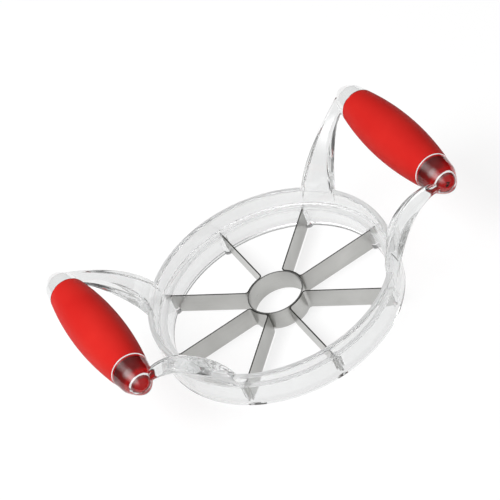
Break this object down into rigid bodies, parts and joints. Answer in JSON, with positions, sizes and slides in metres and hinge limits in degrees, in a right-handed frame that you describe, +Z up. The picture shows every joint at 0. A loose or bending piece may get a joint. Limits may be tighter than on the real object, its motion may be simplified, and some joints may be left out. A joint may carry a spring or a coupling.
{
  "type": "apple slicer wedger press",
  "caption": "Clear round apple slicer pressed down with red soft-sleeved bow handles; steel wedge blades run from a central corer tube to the ring.",
  "frame": {"origin": "centre of the ring's underside, where it rests on the board", "axes": "+X from the ring's centre to the right handle, +Y along the grip bars, +Z up from the board"},
  "size_m": [0.1774, 0.114, 0.0592],
  "materials": {
    "clear_plastic": "clear polished",
    "blade_steel": "satin",
    "red_soft_grip": "matte soft touch"
  },
  "bodies": {
    "root": {"clear_frame": "clear_plastic", "blade_retaining_ring": "clear_plastic", "corer_tube": "blade_steel", "v_blade_right": "blade_steel", "v_blade_back": "blade_steel", "v_blade_left": "blade_steel", "v_blade_front": "blade_steel", "right_grip_sleeve": "red_soft_grip", "left_grip_sleeve": "red_soft_grip"}
  },
  "joints": []
}
